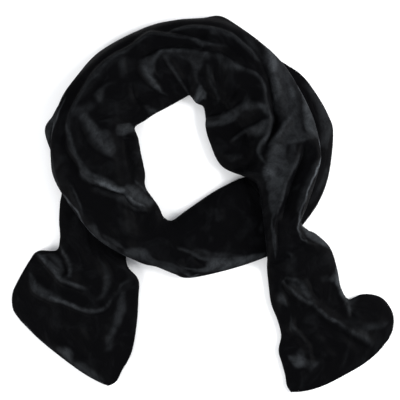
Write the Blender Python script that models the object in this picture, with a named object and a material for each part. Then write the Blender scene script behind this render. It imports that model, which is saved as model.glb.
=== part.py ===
"""A velvet scarf laid on a flat surface: wound once round into a ring, with both ends trailing below it.

The cloth is one long strip, followed here from the left end's hem to the right end's hem. It is cut at
named places into the stretches that show, and each stretch is a wall of cloth with its sides turned under.
X is to the right and Y is away from the two ends, seen from above, and the surface is at Z = 0.
"""

import math

import bpy
import numpy as np

# Driving sizes, in millimetres.
SCARF_WIDTH = 152.0
WALL = 2.4
SEAM_GAP = 0.35
LAYER_GAP = 2.4
FULLNESS = 2.5
LEAST_TUCK = 4.0
TUCK_CLEARANCE = 3.0
LEAST_SLOPE = 11.0
FADE_SHARE = 0.28
MIDDLE_X = -1.7

# How finely the cloth is divided, in millimetres along it and in points round a section.
STATION_STEP = 14.0
HIDDEN_STATION_STEP = 20.0
TUCK_POINTS = 1
TURN_POINTS = 2
TOP_POINTS = 27

# The surface on which a layer rests is kept as a square grid of heights.
GRID_CELL = 3.0
GRID_HALF = 270.0
SPREAD_CELLS = 3
SOFTEN_PASSES = 3
FINE_STEP = 2.5
BEYOND_END = 2.0
FINE_TOP_POINTS = 60

# One row for each section of the cloth, in millimetres.
#   outer_x, outer_y, inner_x, inner_y   where the cloth's two sides show, seen from above
#   height   rise of the section's middle above what it lies on
#   roll     radius at which the sides turn under
#   bow      how far the section's middle runs ahead of its sides
SECTION_COLUMNS = ("outer_x", "outer_y", "inner_x", "inner_y", "height", "roll", "bow")
SECTIONS = {
    "left_end": (
        (-221, -137, -119, -217, 3, 1.8, -9),
        (-229, -125, -107, -213, 4, 1.8, -7),
        (-229, -111, -100, -200, 5, 2, -4),
        (-222, -93, -88, -177, 6, 2.5, -1),
        (-208, -69, -82, -143, 8, 3, 0),
        (-194, -59, -80, -112, 9, 3, 0),
        (-174, -54, -79, -91, 11, 4, 0),
        (-174, -41, -87, -77, 13, 5, 0),
        (-173, -19, -90, -64, 13, 5, 0),
        (-172, 1, -92, -45, 13, 5, 0),
    ),
    "under_turn_left": (
        (-170, 19, -94, -26, 12, 5, 0),
        (-176, 46, -98, 5, 12, 5, 0),
        (-190, 87, -107, 53, 12, 5, 0),
        (-181, 106, -109, 82, 12, 5, 0),
        (-168, 127, -103, 106, 11, 5, 0),
        (-144, 149, -89, 124, 11, 5, 0),
        (-101, 184, -64, 140, 11, 5, 0),
        (-58, 205, -36, 149, 11, 5, 0),
    ),
    "under_turn_right": (
        (-7, 214, -4, 151, 11, 5, 0),
        (44, 199, 26, 137, 11, 5, 0),
        (96, 166, 55, 104, 12, 5, 0),
        (118, 152, 64, 91, 13, 6, 0),
        (137, 130, 70, 77, 14, 6, 0),
        (151, 108, 72, 67, 15, 6, 0),
        (157, 86, 72, 57, 16, 6, 0),
        (149, 38, 67, 43, 16, 6, 0),
        (137, 4, 59, 35, 16, 6, 0),
        (116, -26, 53, 33, 16, 6, 0),
    ),
    "front_arc": (
        (96, -49, 47, 31, 17, 6, 0),
        (74, -62, 38, 28, 18, 6, 0),
        (30, -77, 10, 13, 19, 6, 0),
        (-12, -88, -22, -9, 19, 6, 0),
        (-36, -82, -38, -20, 19, 6, 0),
        (-56, -74, -49, -16, 18, 6, 0),
        (-77, -68, -56, -2, 18, 6, 0),
        (-120, -44, -69, 21, 17, 6, 0),
    ),
    "upper_turn_left": (
        (-146, -17, -72, 38, 17, 6, 0),
        (-176, 28, -77, 62, 17, 6, 0),
        (-181, 56, -80, 79, 17, 6, 0),
        (-179, 88, -84, 93, 17, 6, 0),
        (-170, 122, -71, 102, 17, 6, 0),
        (-154, 148, -61, 109, 17, 6, 0),
        (-125, 182, -44, 118, 17, 6, 0),
        (-69, 211, -26, 128, 17, 6, 0),
    ),
    "upper_turn_right": (
        (-35, 219, -17, 132, 17, 6, 0),
        (-2, 222, -9, 123, 17, 6, 0),
        (20, 225, 0, 118, 17, 6, 0),
        (47, 208, 3, 104, 17, 6, 0),
        (84, 181, 3, 93, 17, 6, 0),
        (113, 153, 8, 75, 17, 6, 0),
    ),
    "right_end": (
        (133, 110, 22, 47, 18, 6, 0),
        (140, 68, 53, 32, 18, 6, 0),
        (135, 44, 65, 21, 18, 6, 0),
        (122, 2, 71, -16, 17, 6, 0),
        (114, -21, 74, -43, 16, 5, 0),
        (123, -31, 76, -62, 14, 4, 0),
        (135, -37, 77, -79, 12, 4, 0),
        (151, -53, 79, -98, 10, 3, 0),
        (159, -77, 82, -119, 9, 3, 0),
        (163, -100, 90, -140, 8, 3, 0),
        (174, -112, 94, -158, 7, 2.5, 0),
        (191, -107, 91, -176, 6, 2.5, 1),
        (210, -114, 95, -191, 6, 2, 4),
        (225, -130, 99, -206, 5, 2, 7),
        (226, -148, 101, -218, 4, 1.8, 10),
        (218, -163, 106, -226, 3, 1.8, 14),
    ),
}
STRETCHES = tuple(SECTIONS)
HIDDEN_STRETCHES = ("under_turn_left", "under_turn_right")

# One row for each fold: the stretches that it runs over, how far its crest rises in millimetres (a crease
# sinks), how wide it slopes to the left and to the right of its line, and the points of that line.
FOLD_COLUMNS = ("first", "last", "rise", "left", "right", "line")
FOLDS = (
    ("front_arc", "upper_turn_right", 9, 5, 30,
     ((-68, -4), (-113, 20), (-153, 50), (-163, 86), (-153, 126),
      (-122, 163), (-79, 195), (-46, 204), (2, 194), (26, 190))),
    ("upper_turn_left", "upper_turn_right", 7, 4, 18,
     ((-46, 206), (-16, 213), (25, 207), (43, 198), (58, 182), (64, 172))),
    ("upper_turn_left", "right_end", 9, 5, 34,
     ((-77, 175), (-46, 183), (-6, 183), (31, 173), (61, 157),
      (75, 129), (78, 101), (70, 71), (73, 50))),
    ("upper_turn_right", "right_end", 10, 30, 7,
     ((67, 191), (79, 145), (85, 113), (80, 92), (79, 74), (84, 50))),
    ("right_end", "right_end", -9, 10, 12,
     ((128, 66), (119, 49), (111, 29), (104, 5), (100, -25))),
    ("right_end", "right_end", 6, 12, 16,
     ((97, -92), (112, -114), (140, -137), (162, -153), (202, -166))),
    ("left_end", "left_end", 7, 14, 10,
     ((-210, -85), (-203, -104), (-173, -116), (-138, -129), (-122, -127), (-110, -113))),
    ("left_end", "left_end", 6, 14, 10,
     ((-173, -40), (-161, -76), (-163, -88), (-150, -97))),
    ("upper_turn_left", "upper_turn_right", 5, 14, 14,
     ((-43, 174), (-26, 148), (-18, 132))),
    ("upper_turn_right", "right_end", 5, 14, 14,
     ((6, 99), (46, 117), (73, 121))),
)


def smooth_through(rows, at):
    """A smooth curve through rows of numbers, read at the fractional row numbers in at."""
    last = len(rows) - 1
    k = np.clip(np.floor(at).astype(int), 0, last - 1)
    f = (at - k)[:, None]
    before, here = rows[np.maximum(k - 1, 0)], rows[k]
    there, after = rows[k + 1], rows[np.minimum(k + 2, last)]
    bend = 2 * before - 5 * here + 4 * there - after
    turn = 3 * (here - there) + after - before
    return here + 0.5 * f * (there - before + f * (bend + f * turn))


def all_sections():
    """Every section row from hem to hem, and the row number at which each stretch begins and ends."""
    rows, starts = [], []
    for name in STRETCHES:
        starts.append(len(rows) - 0.5 if rows else 0.0)
        rows.extend(SECTIONS[name])
    starts.append(float(len(rows) - 1))
    return np.array(rows, float), starts


ROWS, STARTS = all_sections()


def run_length(points):
    """Length run at each point of a line."""
    return np.concatenate([[0], np.cumsum(np.linalg.norm(np.diff(points, axis=0), axis=1))])


def station_rows(name, step):
    """Fractional row numbers of a stretch's sections: one beyond each end, and evenly spaced ones between.

    Half a seam's gap is left at each cut end, and the outermost ones only give the ends their slope.
    """
    index = STRETCHES.index(name)
    at = np.linspace(STARTS[index], STARTS[index + 1], 400)
    sides = smooth_through(ROWS, at)
    middle = (sides[:, 0:2] + sides[:, 2:4]) / 2
    along = run_length(middle)
    half_gaps = []
    for end in (slice(0, 9), slice(-9, None)):
        shorter_side = min(run_length(sides[end, k : k + 2])[-1] for k in (0, 2))
        half_gaps.append(SEAM_GAP / 2 * run_length(middle[end])[-1] / shorter_side)
    first = half_gaps[0] if index > 0 else 0.0
    last = along[-1] - (half_gaps[1] if index < len(STRETCHES) - 1 else 0.0)
    count = max(4, math.ceil((last - first) / step) + 1)
    inside = np.interp(np.linspace(first, last, count), along, at)
    reach = BEYOND_END * np.gradient(at) / np.gradient(along)
    return np.concatenate([[inside[0] - reach[0]], inside, [inside[-1] + reach[-1]]])


def section_steps(top_points):
    """Where a section's points lie, side to side: (share of the tuck, angle round the turn or the top)."""
    tuck = [(1 - k / TUCK_POINTS, -math.pi / 2) for k in range(TUCK_POINTS)]
    turn = [(0.0, -math.pi / 2 * (1 - k / TURN_POINTS)) for k in range(TURN_POINTS)]
    top = [(0.0, math.pi * k / (top_points - 1)) for k in range(top_points)]
    far = [(share, math.pi - angle) for share, angle in reversed(tuck + turn)]
    return np.array(tuck + turn + top + far)


def section_points(at, steps):
    """The cloth's middle surface without folds: places from above, heights, and how far each may move."""
    columns = smooth_through(ROWS, at)
    outer, inner = columns[:, None, 0:2], columns[:, None, 2:4]
    height, roll, bow = (columns[:, k, None] for k in (4, 5, 6))
    width = np.linalg.norm(inner - outer, axis=2)
    across = (inner - outer) / width[..., None]
    ahead = np.stack([-across[..., 1], across[..., 0]], axis=2)
    round_top = width * 1.06 + math.pi * roll
    tuck = np.clip((SCARF_WIDTH - round_top) / 2, LEAST_TUCK, width / 2 - roll - TUCK_CLEARANCE)
    share, angle = steps[None, :, 0], steps[None, :, 1]
    sine, cosine = np.sin(angle), np.cos(angle)
    swell = np.sign(cosine) * np.abs(cosine) ** (2 / FULLNESS)
    on_top = (angle >= 0) & (angle <= math.pi)
    turned = np.where(angle < 0, roll * (1 - cosine), width - roll * (1 + cosine))
    tucked = turned + np.where(angle < math.pi / 2, 1, -1) * share * tuck
    aside = np.where(on_top, width / 2 * (1 - swell), tucked)
    full = np.abs(sine) ** (2 / FULLNESS)
    rise = np.where(on_top, roll + (height - roll) * full, roll * (1 + sine))
    free = np.where(on_top, np.abs(sine) ** 0.6, 0.0)
    shift = bow * (1 - (2 * aside / width - 1) ** 2)
    places = outer + aside[..., None] * across + shift[..., None] * ahead
    return places, rise, free


def fold_rise(places, name, least_slope):
    """How far the folds lift each place of a stretch."""
    lift = np.zeros(places.shape[:-1])
    index = STRETCHES.index(name)
    for first, last, rise, left, right, line in FOLDS:
        if not STRETCHES.index(first) <= index <= STRETCHES.index(last):
            continue
        points = np.array(line, float)
        curve = smooth_through(points, np.linspace(0, len(points) - 1, 4 * len(points)))
        starts, runs = curve[:-1], np.diff(curve, axis=0)
        lengths = np.linalg.norm(runs, axis=1)
        gone = np.concatenate([[0], np.cumsum(lengths)]) / lengths.sum()
        offsets = places[..., None, :] - starts
        part = np.clip((offsets * runs).sum(-1) / lengths**2, 0, 1)
        away = np.linalg.norm(offsets - part[..., None] * runs, axis=-1)
        nearest = away.argmin(axis=-1)[..., None]
        side = runs[:, 0] * offsets[..., 1] - runs[:, 1] * offsets[..., 0]
        side = np.take_along_axis(side, nearest, -1)[..., 0]
        away = np.take_along_axis(away, nearest, -1)[..., 0]
        share = np.take_along_axis(gone[:-1] + part * np.diff(gone), nearest, -1)[..., 0]
        reach = np.maximum(np.where(side > 0, left, right), least_slope)
        shape = 0.5 * (1 + np.cos(math.pi * np.clip(away / reach, 0, 1)))
        fade = np.clip(np.minimum(share, 1 - share) / FADE_SHARE, 0, 1)
        lift += rise * shape * fade**2 * (3 - 2 * fade)
    return lift


def laid_surface(name, at, steps, least_slope, ground):
    """The middle surface of a stretch as it lies: one row of points for each section."""
    places, rise, free = section_points(at, steps)
    folded = rise + free * fold_rise(places, name, least_slope)
    folded = np.maximum(folded, np.minimum(rise, WALL + 0.6))
    return np.concatenate([places, (folded + ground_height(ground, places) + WALL / 2)[..., None]], axis=2)


def ground_height(ground, places):
    """Height of what lies under each place, read between the grid's cells."""
    spot = (places + GRID_HALF) / GRID_CELL
    cell = np.floor(spot).astype(int)
    f, g = spot[..., 0] - cell[..., 0], spot[..., 1] - cell[..., 1]
    i, j = cell[..., 0], cell[..., 1]
    near = ground[i, j] * (1 - f) + ground[i + 1, j] * f
    far = ground[i, j + 1] * (1 - f) + ground[i + 1, j + 1] * f
    return near * (1 - g) + far * g


def shifted(grid, di, dj):
    return np.roll(np.roll(grid, di, axis=0), dj, axis=1)


def ground_under(tops):
    """What a layer rests on: the highest cloth below it, spread and softened as a layer bridges it."""
    side = int(2 * GRID_HALF / GRID_CELL) + 2
    ground = np.zeros((side, side))
    for top in tops:
        ground = np.maximum(ground, top)
    for _ in range(SPREAD_CELLS):
        ground = np.max([shifted(ground, i, j) for i in (-1, 0, 1) for j in (-1, 0, 1)], axis=0)
    for _ in range(SOFTEN_PASSES):
        ground = sum(shifted(ground, i, j) for i in (-1, 0, 1) for j in (-1, 0, 1)) / 9
    return ground


def top_grid(surface):
    """The grid of heights that a stretch's upper face makes."""
    side = int(2 * GRID_HALF / GRID_CELL) + 2
    grid = np.zeros((side, side))
    cell = np.round((surface[..., 0:2] + GRID_HALF) / GRID_CELL).astype(int)
    np.maximum.at(grid, (cell[..., 0], cell[..., 1]), surface[..., 2] + WALL / 2 + LAYER_GAP)
    return grid


def grounds():
    """The ground under each stretch: all that was laid before it but the stretch that it runs on from."""
    tops, found = [], {}
    steps = section_steps(FINE_TOP_POINTS)
    for index, name in enumerate(STRETCHES):
        found[name] = ground_under(tops[: max(index - 1, 0)])
        at = station_rows(name, FINE_STEP)
        tops.append(top_grid(laid_surface(name, at, steps, LEAST_SLOPE, found[name])))
    return found


def face_normals(surface):
    """Unit normals, up on the top of the cloth: alike on both sides of a cut, and upright on flat tucks."""
    along = np.gradient(surface, axis=0)
    along[1], along[-2] = surface[1] - surface[0], surface[-1] - surface[-2]
    across = np.gradient(surface, axis=1)
    across[:, TUCK_POINTS], across[:, -1 - TUCK_POINTS] = across[:, 0], across[:, -1]
    normals = np.cross(across, along)
    return normals / np.linalg.norm(normals, axis=2)[..., None]


def cloth_wall(name, ground, material):
    """One stretch of the scarf as a closed wall of cloth."""
    hidden = name in HIDDEN_STRETCHES
    at = station_rows(name, HIDDEN_STATION_STEP if hidden else STATION_STEP)
    steps = section_steps(TOP_POINTS)
    surface = laid_surface(name, at, steps, LEAST_SLOPE, ground)
    normals = face_normals(surface)
    faces_of_wall = [(surface + side * normals * WALL / 2)[1:-1] for side in (1, -1)]
    rows, columns = faces_of_wall[0].shape[:2]
    points = (np.concatenate([face.reshape(-1, 3) for face in faces_of_wall]) - (MIDDLE_X, 0, 0)) / 1000
    under = rows * columns
    faces = []
    for i in range(rows - 1):
        for j in range(columns - 1):
            a, b = i * columns + j, i * columns + j + 1
            c, d = b + columns, a + columns
            faces.append((a, b, c, d))
            faces.append((under + d, under + c, under + b, under + a))
    for i in range(rows - 1):
        a, b = i * columns, (i + 1) * columns
        c, d = a + columns - 1, b + columns - 1
        faces.append((a, b, under + b, under + a))
        faces.append((d, c, under + c, under + d))
    for j in range(columns - 1):
        a, b = j, j + 1
        c, d = a + (rows - 1) * columns, b + (rows - 1) * columns
        faces.extend([(b, a, under + a), (b, under + a, under + b)])
        faces.extend([(c, d, under + c), (d, under + d, under + c)])
    mesh = bpy.data.meshes.new(name)
    mesh.from_pydata(points.tolist(), [], faces)
    mesh.shade_smooth()
    mesh.materials.append(material)
    bpy.context.scene.collection.objects.link(bpy.data.objects.new(name, mesh))


def black_velvet():
    material = bpy.data.materials.new("black_velvet")
    material.use_nodes = True
    shader = material.node_tree.nodes["Principled BSDF"]
    shader.inputs["Base Color"].default_value = (0.004, 0.004, 0.005, 1)
    shader.inputs["Roughness"].default_value = 0.8
    shader.inputs["Metallic"].default_value = 0.0
    return material


def main():
    for obj in list(bpy.data.objects):
        bpy.data.objects.remove(obj)
    velvet = black_velvet()
    for name, ground in grounds().items():
        cloth_wall(name, ground, velvet)


main()
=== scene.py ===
import math

import bpy
import numpy as np
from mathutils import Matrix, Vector, noise


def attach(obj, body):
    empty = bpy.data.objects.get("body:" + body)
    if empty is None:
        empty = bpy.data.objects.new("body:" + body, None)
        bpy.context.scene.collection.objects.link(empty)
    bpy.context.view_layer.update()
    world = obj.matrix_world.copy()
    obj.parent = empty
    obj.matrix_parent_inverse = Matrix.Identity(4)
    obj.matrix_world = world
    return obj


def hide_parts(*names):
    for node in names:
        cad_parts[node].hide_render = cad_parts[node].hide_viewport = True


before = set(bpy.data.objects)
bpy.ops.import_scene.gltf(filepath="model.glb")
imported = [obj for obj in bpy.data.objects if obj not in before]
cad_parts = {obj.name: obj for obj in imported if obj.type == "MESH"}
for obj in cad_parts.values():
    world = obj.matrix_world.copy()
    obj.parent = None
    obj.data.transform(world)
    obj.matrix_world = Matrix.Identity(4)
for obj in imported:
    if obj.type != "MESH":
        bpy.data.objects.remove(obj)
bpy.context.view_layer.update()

# The lower run of the scarf: the left end, which lies on the surface and runs up to the neck of the
# ring, and the turn that goes on from it beneath the ring. It is black velvet sewn double, pile
# outwards, turned right side out and pressed along its long edges, so that each wall here is two
# layers of cloth thick. The sizes of the cloth are in millimetres until its points are made metres.
CLOTH_WIDTH = 152.0
WALL = 2.4
FULLNESS = 2.3
FLATTENING = 0.9
ROUND_TOP = 1.06
LEAST_TUCK = 4.0
TUCK_CLEARANCE = 3.0
MIDDLE_X = -1.7
STATION_STEP = 1.6
FINE_STEPS = 1500
TUCK_POINTS = 2
TURN_POINTS = 4
TOP_POINTS = 115
HEM_ROUNDING = (0.0, 0.25, 0.7, 1.2)
HEM_EDGE = 0.15

# Sections from hem to hem: x and y of the outer and of the inner side as they show from above, the
# rise of the middle above what it lies on, the radius at which the sides turn under, and how far
# the middle runs ahead of the sides.
LOWER_SECTIONS = (
    (-221, -138, -117, -218, 3, 1.8, -6.5),
    (-229, -126, -107, -213, 4, 1.8, -5.5),
    (-230, -109, -100, -200, 5, 2, -3),
    (-224, -94, -88, -177, 6, 2.5, -1),
    (-209, -68, -82, -143, 8, 3, 0),
    (-199, -57, -80, -112, 9, 3, 0),
    (-177, -56, -80, -91, 11, 4, 0),
    (-172, -41, -92, -76, 13, 5, 0),
    (-173, -19, -95, -62, 13, 5, 0),
    (-172, 1, -92, -45, 13, 5, 0),
    (-170, 19, -94, -26, 12, 5, 0),
    (-176, 46, -98, 5, 12, 5, 0),
    (-190, 87, -107, 53, 12, 5, 0),
    (-181, 106, -109, 82, 12, 5, 0),
    (-168, 127, -103, 106, 11, 5, 0),
    (-144, 149, -89, 124, 11, 5, 0),
    (-101, 184, -64, 140, 11, 5, 0),
    (-58, 205, -36, 149, 11, 5, 0),
    (-7, 214, -4, 151, 11, 5, 0),
    (44, 199, 26, 137, 11, 5, 0),
    (97, 168, 55, 104, 12, 5, 0),
    (118, 153, 64, 91, 13, 6, 0),
    (136, 129, 70, 77, 14, 6, 0),
    (148, 107, 72, 67, 15, 6, 0),
    (154, 86, 72, 57, 16, 6, 0),
    (149, 38, 67, 43, 16, 6, 0),
    (137, 4, 59, 35, 16, 6, 0),
    (116, -26, 53, 33, 16, 6, 0),
)
UPPER_SECTIONS = (
    (96, -49, 47, 31, 17, 6, 0),
    (74, -62, 38, 28, 18, 6, 0),
    (30, -77, 10, 13, 19, 6, 0),
    (-17, -87, -22, -9, 19, 6, 0),
    (-36, -82, -38, -20, 19, 6, 0),
    (-56, -74, -49, -16, 18, 6, 0),
    (-77, -68, -56, -2, 18, 6, 0),
    (-120, -44, -71, 20, 17, 6, 0),
    (-146, -17, -72, 38, 17, 6, 0),
    (-176, 28, -77, 62, 17, 6, 0),
    (-181, 56, -80, 79, 17, 6, 0),
    (-179, 88, -84, 93, 17, 6, 0),
    (-170, 122, -71, 102, 17, 6, 0),
    (-154, 148, -61, 109, 17, 6, 0),
    (-125, 182, -44, 118, 17, 6, 0),
    (-69, 211, -26, 128, 17, 6, 0),
    (-35, 219, -17, 132, 17, 6, 0),
    (-2, 222, -9, 123, 17, 6, 0),
    (20, 225, 0, 118, 17, 6, 0),
    (47, 208, 3, 104, 17, 6, 0),
    (82, 178, 3, 93, 17, 6, 0),
    (104, 150, 8, 75, 17, 6, 0),
    (126, 107, 22, 47, 18, 6, 0),
    (136, 68, 53, 32, 18, 6, 0),
    (135, 44, 65, 21, 18, 6, 0),
    (122, 2, 71, -16, 17, 6, 0),
    (114, -21, 74, -43, 16, 5, 0),
    (123, -31, 76, -62, 14, 4, 0),
    (135, -37, 77, -79, 12, 4, 0),
    (151, -53, 79, -98, 10, 3, 0),
    (159, -77, 82, -119, 9, 3, 0),
    (164, -101, 90, -140, 8, 3, 0),
    (174, -115, 94, -158, 7, 2.5, 0),
    (192, -109, 91, -176, 6, 2.5, 1),
    (213, -113, 95, -191, 6, 2, 3.5),
    (226, -130, 99, -206, 5, 2, 6.5),
    (227, -148, 101, -218, 4, 1.8, 9.5),
    (221, -163, 106, -226, 3, 1.8, 12.5),
)
ROWS = np.array(LOWER_SECTIONS + UPPER_SECTIONS, float)

# Where the runs meet, where each turn passes the top of the ring, and where the front ends, as row
# numbers.
UNDER_RING_SEAM = len(LOWER_SECTIONS) - 0.5
RING_TOP_BELOW = 17.5
FRONT_ENDS = UNDER_RING_SEAM + 8
RING_TOP_ABOVE = FRONT_ENDS + 8

# Folds: how far the crest rises in millimetres (a crease sinks), how wide it slopes to the left and
# to the right of its line, the share of the line over which each end fades, and the points of the
# line.
LOWER_FOLDS = (
    (5, 16, 4, 0.15, ((-209, -83), (-207, -92), (-203, -104), (-193, -110), (-182, -115),
                      (-172, -116), (-159, -121), (-147, -126), (-138, -129), (-127, -128),
                      (-118, -124), (-112, -116), (-109, -111))),
    (5, 16, 4, 0.1, ((-205, -54), (-198, -60), (-191, -69), (-185, -76), (-178, -83), (-172, -91),
                     (-164, -94), (-154, -98), (-141, -104))),
    (6, 16, 3, 0.2, ((-173, -46), (-169, -56), (-165, -61), (-162, -67), (-160, -77), (-160, -83),
                     (-163, -88), (-173, -89))),
    (4, 8, 9, 0.3, ((-127, -56), (-122, -71), (-115, -85), (-115, -97), (-120, -106),
                    (-127, -114))),
    (3, 8, 4, 0.3, ((-108, -110), (-103, -103), (-97, -94), (-87, -92))),
    (3, 11, 11, 0.3, ((-97, -100), (-99, -124), (-105, -141), (-113, -159), (-118, -178))),
    (2.5, 10, 8, 0.3, ((-147, -145), (-139, -152), (-132, -164))),
    (2.5, 9, 12, 0.3, ((-186, -160), (-170, -172), (-152, -186), (-136, -200))),
)


def smooth_through(rows, at):
    """A smooth curve through rows of numbers, read at the fractional row numbers in at."""
    last = len(rows) - 1
    k = np.clip(np.floor(at).astype(int), 0, last - 1)
    f = (at - k)[:, None]
    before, here = rows[np.maximum(k - 1, 0)], rows[k]
    there, after = rows[k + 1], rows[np.minimum(k + 2, last)]
    bend = 2 * before - 5 * here + 4 * there - after
    turn = 3 * (here - there) + after - before
    return here + 0.5 * f * (there - before + f * (bend + f * turn))


def run_length(points):
    """Length run at each point of a line."""
    return np.concatenate([[0], np.cumsum(np.linalg.norm(np.diff(points, axis=0), axis=1))])


def stations_between(first, last):
    """Fractional row numbers of evenly spaced sections, and how far along the cloth each is."""
    at = np.linspace(first, last, FINE_STEPS)
    sides = smooth_through(ROWS, at)
    along = run_length((sides[:, 0:2] + sides[:, 2:4]) / 2)
    places = np.linspace(0, along[-1], 2 * math.ceil(along[-1] / STATION_STEP / 2) + 2)
    if first == 0:
        places = np.concatenate([HEM_ROUNDING, places[1:]])
    if last == len(ROWS) - 1:
        places = np.concatenate([places[:-1], along[-1] - np.array(HEM_ROUNDING[::-1])])
    return np.interp(places, along, at), places


def section_steps():
    """Where a section's points lie, side to side: (share of the tuck, angle round the turn or the
    top)."""
    tuck = [(1 - k / TUCK_POINTS, -math.pi / 2) for k in range(TUCK_POINTS)]
    turn = [(0.0, -math.pi / 2 * (1 - k / TURN_POINTS)) for k in range(TURN_POINTS)]
    top = [(0.0, math.pi * k / (TOP_POINTS - 1)) for k in range(TOP_POINTS)]
    far = [(share, math.pi - angle) for share, angle in reversed(tuck + turn)]
    return np.array(tuck + turn + top + far)


def section_points(at):
    """The cloth's middle surface without folds: places from above, heights, and how far each may
    move."""
    steps = section_steps()
    columns = smooth_through(ROWS, at)
    outer, inner = columns[:, None, 0:2], columns[:, None, 2:4]
    height, roll, bow = (columns[:, k, None] for k in (4, 5, 6))
    height = np.maximum(FLATTENING * height, roll + 1)
    width = np.linalg.norm(inner - outer, axis=2)
    across = (inner - outer) / width[..., None]
    ahead = np.stack([-across[..., 1], across[..., 0]], axis=2)
    round_top = width * ROUND_TOP + math.pi * roll
    tuck = np.clip((CLOTH_WIDTH - round_top) / 2, LEAST_TUCK, width / 2 - roll - TUCK_CLEARANCE)
    share, angle = steps[None, :, 0], steps[None, :, 1]
    sine, cosine = np.sin(angle), np.cos(angle)
    swell = np.sign(cosine) * np.abs(cosine) ** (2 / FULLNESS)
    on_top = (angle >= 0) & (angle <= math.pi)
    turned = np.where(angle < 0, roll * (1 - cosine), width - roll * (1 + cosine))
    tucked = turned + np.where(angle < math.pi / 2, 1, -1) * share * tuck
    aside = np.where(on_top, width / 2 * (1 - swell), tucked)
    full = np.abs(sine) ** (2 / FULLNESS)
    rise = np.where(on_top, roll + (height - roll) * full, roll * (1 + sine))
    free = np.where(on_top, np.abs(sine) ** 0.5, 0.0)
    shift = bow * (1 - np.abs(2 * aside / width - 1) ** 3)
    return outer + aside[..., None] * across + shift[..., None] * ahead, rise, free


# How a fold's crest mixes a crease with a soft wave, and how a painted sheen patch fades at its
# edge.
CREASED = 0.6
CREASE_SHARPNESS = 1.6
CURVE_STEPS = 6
NEARBY = 2
PATCH_EDGE = 0.75
PATCH_SPREAD = 1.15
PATCH_LEAST_HALF = 0.3
PATCH_RIM = 0.78
PATCH_CORE = 1.14
PATCH_DEPTH = 6.5


def beside_line(places, line, reach):
    """Which places are near a line, how far off (plus on its left), and the share of it gone by
    there."""
    points = np.array(line, float)
    last = len(points) - 1
    curve = smooth_through(points, np.linspace(0, last, CURVE_STEPS * last + 1))
    low, high = points.min(0) - reach - NEARBY, points.max(0) + reach + NEARBY
    near = np.all((places > low) & (places < high), axis=-1)
    spots = places[near]
    starts, runs = curve[:-1], np.diff(curve, axis=0)
    lengths = np.linalg.norm(runs, axis=1)
    gone = np.concatenate([[0], np.cumsum(lengths)]) / lengths.sum()
    offsets = spots[:, None, :] - starts
    part = np.clip((offsets * runs).sum(-1) / lengths**2, 0, 1)
    away = np.linalg.norm(offsets - part[..., None] * runs, axis=-1)
    nearest = away.argmin(axis=-1)
    spot = np.arange(len(spots))
    side = (runs[:, 0] * offsets[..., 1] - runs[:, 1] * offsets[..., 0])[spot, nearest]
    share = (gone[:-1] + part * np.diff(gone))[spot, nearest]
    return near, np.where(side > 0, 1, -1) * away[spot, nearest], share


def blurred(grid):
    """A grid with each value shared a little with its neighbours, so that slanting edges run
    clean."""
    for axis in (0, 1):
        ends = np.take(grid, [0], axis), np.take(grid, [-1], axis)
        wide = np.concatenate([ends[0], grid, ends[1]], axis)
        count = grid.shape[axis]
        before, after = np.take(wide, range(count), axis), np.take(wide, range(2, count + 2), axis)
        grid = 0.25 * before + 0.5 * grid + 0.25 * after
    return grid


def eased(level):
    """A level from 0 to 1 with both ends of the change made gentle."""
    level = np.clip(level, 0, 1)
    return level**2 * (3 - 2 * level)


def fold_shape(places, left, right, fade, line):
    """A fold of height 1 along a line, sloping off on both sides and fading at its ends."""
    shape = np.zeros(places.shape[:-1])
    near, off, share = beside_line(places, line, max(left, right))
    slope = np.clip(np.abs(off) / np.where(off > 0, left, right), 0, 1)
    wave = (1 - CREASED) * 0.5 * (1 + np.cos(math.pi * slope))
    crest = CREASED * (1 - slope) ** CREASE_SHARPNESS + wave
    shape[near] = crest * eased(np.minimum(share, 1 - share) / fade)
    return shape


def leaf_shape(places, left, right, line):
    """A patch along a line, pointed at both ends like a leaf: 1 within it and 0 beyond its edge."""
    shape = np.zeros(places.shape[:-1])
    near, off, share = beside_line(places, line, PATCH_SPREAD * max(left, right))
    pointed = np.sqrt(np.clip(4 * share * (1 - share), 0, 1))
    half = PATCH_SPREAD * np.where(off > 0, left, right) * pointed
    shape[near] = eased((1 - np.abs(off) / np.maximum(half, PATCH_LEAST_HALF)) / PATCH_EDGE)
    return shape


def facet_shape(places, soft, outline):
    """A patch within an outline, its edge so many millimetres soft, which grows lighter inwards."""
    points = np.array(outline, float)
    shape = np.zeros(places.shape[:-1])
    near = np.all((places > points.min(0) - soft) & (places < points.max(0) + soft), axis=-1)
    spots = places[near][:, None, :]
    ends = np.roll(points, -1, axis=0)
    runs, offsets = ends - points, spots - points
    part = np.clip((offsets * runs).sum(-1) / (runs**2).sum(-1), 0, 1)
    away = np.linalg.norm(offsets - part[..., None] * runs, axis=-1).min(-1)
    straddles = (points[:, 1] > spots[..., 1]) != (ends[:, 1] > spots[..., 1])
    rise = np.where(runs[:, 1] == 0, 1.0, runs[:, 1])
    crosses = straddles & (spots[..., 0] < points[:, 0] + runs[:, 0] * offsets[..., 1] / rise)
    inside = crosses.sum(-1) % 2 == 1
    edge = eased(np.where(inside, away, -away) / soft + 0.5)
    depth = eased(np.where(inside, away, 0) / PATCH_DEPTH)
    shape[near] = edge * (PATCH_RIM + (PATCH_CORE - PATCH_RIM) * depth)
    return shape


def ripple(places, size, seed):
    """Small unevenness of laid cloth, from -1 to 1, with waves of about the given size in
    millimetres."""
    flat = places.reshape(-1, 2) / size
    found = [noise.noise(Vector((x, y, seed))) for x, y in flat]
    return np.array(found).reshape(places.shape[:-1])
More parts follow.
